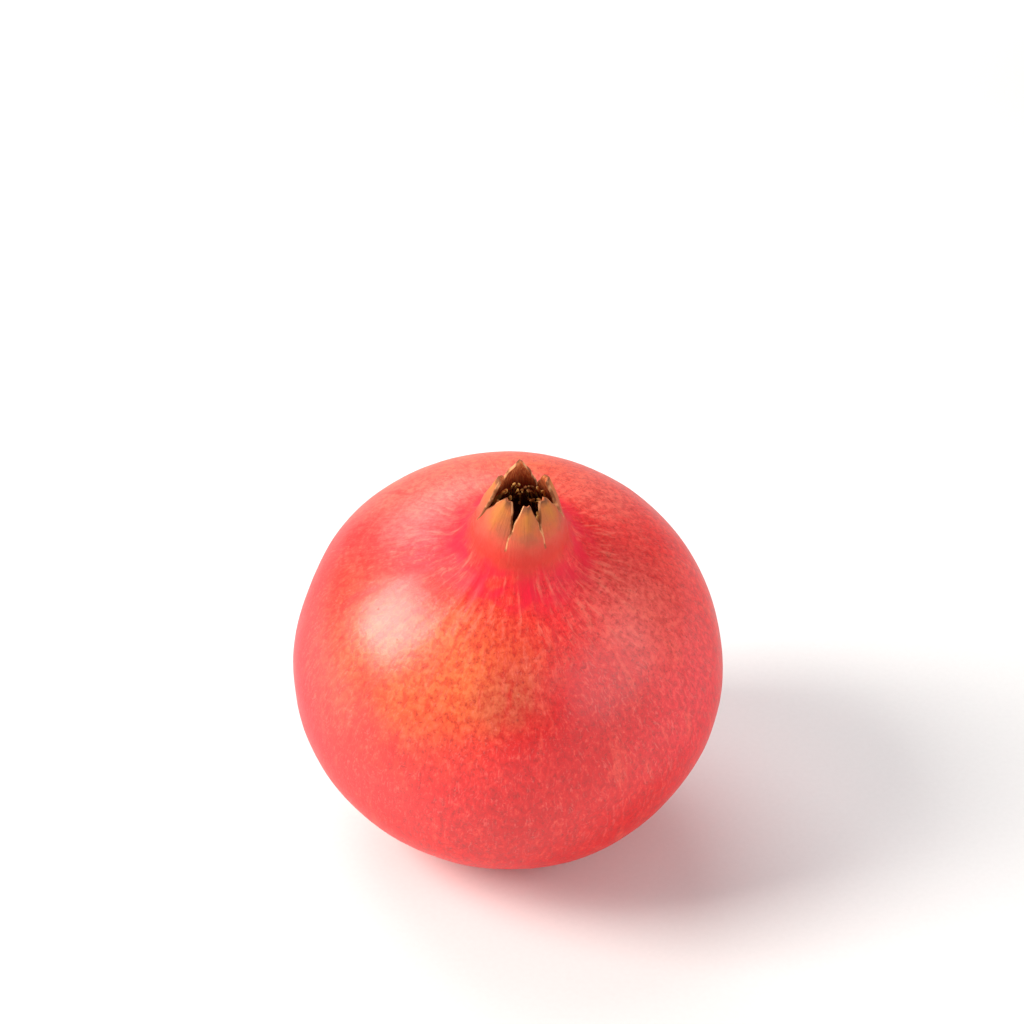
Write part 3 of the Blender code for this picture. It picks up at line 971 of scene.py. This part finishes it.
def stalk_finish():
    """Brown woody bark with pale fibres across its cut end."""
    finish = Finish("cut stalk")
    own_place = own_axis_place(finish)
    stretched = finish.vector("MULTIPLY", own_place, (1, 1, 0.18))
    fibre = finish.noise(stretched, 1900, detail=3.0, roughness=0.7)
    colour = finish.mix(finish.fade(fibre, 0.35, 0.65), DARK_BARK, PALE_BARK)
    cut_end = finish.fade(finish.height_of(own_place), CUT_HEIGHT, CUT_HEIGHT - 0.0004)
    colour = finish.mix(cut_end, colour, finish.mix(fibre, DARK_WOOD, PALE_WOOD))
    finish.surface(
        Base_Color=colour, Roughness=finish.fade(fibre, 0.3, 0.7, 0.7, 0.92),
        Normal=finish.bump(fibre, 0.0004, 0.8))
    return finish.material


# Stamens

def route_point(root, elbow, tip, share):
    """A point along the bend from root to tip, drawn towards the elbow."""
    return root * (1 - share) ** 2 + elbow * 2 * share * (1 - share) + tip * share ** 2


def add_stamen(name, root, elbow, tip, roll, size):
    """One stamen: a thin bent filament that ends in a two-lobed anther."""
    clear_selection()
    along = (elbow - root).normalized()
    bpy.ops.mesh.primitive_circle_add(
        vertices=6, radius=FILAMENT_RADIUS * size, fill_type="NGON", location=root,
        rotation=along.to_track_quat("Z", "Y").to_euler())
    stamen = bpy.context.object
    stamen.name = name
    bpy.ops.object.transform_apply(location=True, rotation=True, scale=True)
    start_edit("FACE")
    anther_start = 1 - ANTHER_LENGTH * size / (tip - root).length
    shares = [anther_start * step for step in FILAMENT_STEPS]
    shares += [anther_start + (1 - anther_start) * step for step in ANTHER_STEPS]
    centre = root
    width = 1.0
    for share, next_width in zip(shares, FILAMENT_WIDTHS + ANTHER_WIDTHS):
        next_centre = route_point(root, elbow, tip, share)
        bpy.ops.mesh.extrude_region_move(TRANSFORM_OT_translate={"value": next_centre - centre})
        factor = next_width / width
        bpy.ops.transform.resize(value=(factor,) * 3, center_override=next_centre)
        centre = next_centre
        width = next_width
    close_edit()
    split_anther(stamen.data, route_point(root, elbow, tip, anther_start), tip - elbow, roll)
    smooth_shape(stamen, 1)
    bpy.ops.object.shade_smooth()
    return stamen


def split_anther(mesh, start, direction, roll):
    """Pinch the anther along its middle so that it has two lobes, and flatten it a little."""
    along = direction.normalized()
    side = Matrix.Rotation(roll, 3, along) @ along.orthogonal().normalized()
    cross = along.cross(side)
    for vert in mesh.vertices:
        offset = vert.co - start
        if offset.dot(along) <= 0:
            continue
        axis_point = start + along * offset.dot(along)
        out = vert.co - axis_point
        sideways = out.dot(side)
        depth = out.dot(cross)
        pinch = 0.5 + 0.5 * min(1, abs(sideways) / LOBE_HALF_WIDTH)
        vert.co = axis_point + side * sideways * 1.2 + cross * depth * pinch


def stamen_route(around, root_height, tip_height, tip_radius, tip_turn):
    """Root, elbow and tip of a stamen on the fruit's own axis."""
    wall = SLIT_RADIUS - CROWN_WALL - 0.0001
    elbow_radius = wall - 0.0008
    root = Vector((wall * math.cos(around), wall * math.sin(around), root_height))
    elbow = Vector((elbow_radius * math.cos(around), elbow_radius * math.sin(around),
                    root_height + 0.5 * (tip_height - root_height)))
    tip_around = around + tip_turn
    tip = Vector((tip_radius * math.cos(tip_around), tip_radius * math.sin(tip_around), tip_height))
    return root, elbow, tip


class POMEGRANATE_OT_stamens(bpy.types.Operator):
    """Model the dry stamens, one for each stamen of the frame and a tuft of others between them"""

    bl_idname = "pomegranate.stamens"
    bl_label = "Stamens"

    def execute(self, context):
        chance = random.Random(11)
        finish = stamen_finish()
        to_own = PLACEMENT.inverted()
        for node in STAMEN_NODES:
            low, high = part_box(node)
            middle = to_own @ ((low + high) / 2)
            around = math.atan2(middle.y, middle.x)
            root_height = ROW_HEIGHTS[(int(node[-2:]) - 1) // STAMENS_PER_ROW]
            tip_height = root_height + STAMEN_RISE + chance.uniform(-0.0005, 0.0007)
            tip_radius = STAMEN_TIP_RADIUS + chance.uniform(-0.0006, 0.0006)
            route = stamen_route(around, root_height, tip_height, tip_radius, chance.uniform(-0.09, 0.09))
            stamen = add_stamen(f"{node}_dry", *route, chance.uniform(0, math.pi), chance.uniform(0.9, 1.1))
            settle_in_place(stamen)
            stamen.data.materials.append(finish)
            join_to_root(stamen, "stamen", node)
        tuft = []
        for number in range(sizes().stamen_extras):
            row = number // TUFT_PER_ROW
            around = 2 * math.pi * (number + 0.5) / TUFT_PER_ROW + row * TUFT_ROW_TURN
            root_height = TUFT_LOWEST + TUFT_ROW_GAP * row + chance.uniform(-0.0003, 0.0003)
            tip_height = root_height + chance.uniform(0.0050, 0.0080)
            route = stamen_route(around, root_height, tip_height, chance.uniform(0.0030, 0.0056),
                                 chance.uniform(-0.2, 0.2))
            stamen = add_stamen("tuft", *route, chance.uniform(0, math.pi), chance.uniform(0.8, 1.05))
            tuft.append(stamen)
        clear_selection()
        for stamen in tuft:
            stamen.select_set(True)
        context.view_layer.objects.active = tuft[0]
        bpy.ops.object.join()
        tuft[0].name = "stamen_tuft"
        settle_in_place(tuft[0])
        tuft[0].data.materials.append(finish)
        join_to_root(tuft[0], "stamen")
        return {"FINISHED"}


# Stalk

class POMEGRANATE_OT_stalk(bpy.types.Operator):
    """Model the woody stub of the cut stalk in its dimple"""

    bl_idname = "pomegranate.stalk"
    bl_label = "Stalk stub"

    def execute(self, context):
        clear_selection()
        bpy.ops.mesh.primitive_circle_add(
            vertices=24, radius=STALK_RADIUS, fill_type="NGON", location=(0, 0, STALK_TOP))
        stalk = context.object
        stalk.name = "cut_stalk"
        bpy.ops.object.transform_apply(location=True, rotation=True, scale=True)
        start_edit("FACE")
        extrude_rings([(width, STALK_TOP - drop) for drop, width in STALK_RINGS], 1.0, STALK_TOP)
        close_edit()
        for vert in stalk.data.vertices:
            around = math.atan2(vert.co.y, vert.co.x)
            vert.co.xy *= 1 + 0.035 * math.sin(7 * around + 900 * vert.co.z) + 0.03 * math.sin(3 * around)
        smooth_shape(stalk, 2)
        bpy.ops.object.shade_smooth()
        settle_in_place(stalk)
        stalk.data.materials.append(stalk_finish())
        join_to_root(stalk, "stalk", "stalk_stub")
        return {"FINISHED"}


# Studio

def add_soft_light(name, direction, distance, width, height, power, colour):
    """A rectangular area light that faces the middle of the fruit."""
    clear_selection()
    place = MIDDLE + Vector(direction).normalized() * distance
    turn = (MIDDLE - place).to_track_quat("-Z", "Y").to_euler()
    bpy.ops.object.light_add(type="AREA", radius=width, location=place, rotation=turn)
    light = bpy.context.object
    light.name = name
    light.data.shape = "RECTANGLE"
    light.data.size = width
    light.data.size_y = height
    light.data.energy = power
    light.data.color = colour


class POMEGRANATE_OT_studio(bpy.types.Operator):
    """Set up the pale floor, the soft lights and the camera"""

    bl_idname = "pomegranate.studio"
    bl_label = "Studio"

    def execute(self, context):
        scene = context.scene
        look = scene.studio_look
        clear_selection()
        bpy.ops.mesh.primitive_circle_add(
            vertices=64, radius=FLOOR_RADIUS, fill_type="NGON", location=(0, 0, 0))
        floor = context.object
        floor.name = "floor"
        white = Finish("white floor")
        place = white.object_place()
        grain = white.noise(place, 900, detail=2.0)
        glow = white.fade(white.vector("LENGTH", place), FLOOR_GLOW_START, FLOOR_GLOW_END, 0.0, FLOOR_GLOW)
        white.surface(
            Base_Color=white.fade(grain, 0.2, 0.8, 0.90, 0.92), Roughness=0.7, Specular_IOR_Level=0.1,
            Emission_Color=(1, 1, 1), Emission_Strength=glow)
        floor.data.materials.append(white.material)
        for name, direction, distance, width, height, colour in LIGHTS:
            power = getattr(look, f"{name}_power")
            add_soft_light(f"{name} light", direction, distance, width, height, power, colour)
        world = bpy.data.worlds.new("white room")
        world.use_nodes = True
        background = world.node_tree.nodes["Background"]
        background.inputs["Color"].default_value = (1, 1, 1, 1)
        rays = world.node_tree.nodes.new("ShaderNodeLightPath")
        strength = world.node_tree.nodes.new("ShaderNodeMix")
        strength.inputs["A"].default_value = look.room_light
        strength.inputs["B"].default_value = 1.0
        world.node_tree.links.new(rays.outputs["Is Camera Ray"], strength.inputs["Factor"])
        world.node_tree.links.new(strength.outputs["Result"], background.inputs["Strength"])
        scene.world = world
        scene.view_settings.view_transform = "Standard"
        scene.view_settings.look = "None"
        place_camera(scene, look.focal_length)
        return {"FINISHED"}


def place_camera(scene, focal_length):
    """A camera that looks down at the fruit from the front, the fruit low in its frame."""
    back = -CAMERA_DISTANCE * math.cos(CAMERA_DOWN)
    place = MIDDLE + Vector((CAMERA_SIDEWAYS, back, CAMERA_DISTANCE * math.sin(CAMERA_DOWN)))
    clear_selection()
    turn = (math.pi / 2 - CAMERA_DOWN + CAMERA_ABOVE_CENTRE, 0, 0)
    bpy.ops.object.camera_add(location=place, rotation=turn)
    camera = bpy.context.object
    camera.name = "camera"
    camera.data.lens = focal_length
    camera.data.sensor_width = 36
    camera.data.clip_start = 0.01
    scene.camera = camera


class POMEGRANATE_PT_panel(bpy.types.Panel):
    """Lists the pieces and the studio"""

    bl_idname = "POMEGRANATE_PT_panel"
    bl_label = "Pomegranate"
    bl_space_type = "VIEW_3D"
    bl_region_type = "UI"
    bl_category = "Pomegranate"

    def draw(self, context):
        layout = self.layout
        for group in (context.scene.fruit_sizes, context.scene.fruit_colours, context.scene.studio_look):
            box = layout.box()
            for name in group.__annotations__:
                box.prop(group, name)
        for operator in OPERATORS:
            layout.operator(operator.bl_idname)


OPERATORS = (POMEGRANATE_OT_fruit, POMEGRANATE_OT_stamens, POMEGRANATE_OT_stalk, POMEGRANATE_OT_studio)
GROUPS = (FruitSizes, FruitColours, StudioLook)
CLASSES = GROUPS + OPERATORS + (POMEGRANATE_PT_panel,)


def register():
    for cls in CLASSES:
        bpy.utils.register_class(cls)
    bpy.types.Scene.fruit_sizes = PointerProperty(type=FruitSizes)
    bpy.types.Scene.fruit_colours = PointerProperty(type=FruitColours)
    bpy.types.Scene.studio_look = PointerProperty(type=StudioLook)


def unregister():
    del bpy.types.Scene.studio_look
    del bpy.types.Scene.fruit_colours
    del bpy.types.Scene.fruit_sizes
    for cls in reversed(CLASSES):
        bpy.utils.unregister_class(cls)


def main():
    register()
    bpy.ops.pomegranate.fruit()
    bpy.ops.pomegranate.stamens()
    bpy.ops.pomegranate.stalk()
    bpy.ops.pomegranate.studio()


if __name__ == "__main__":
    main()
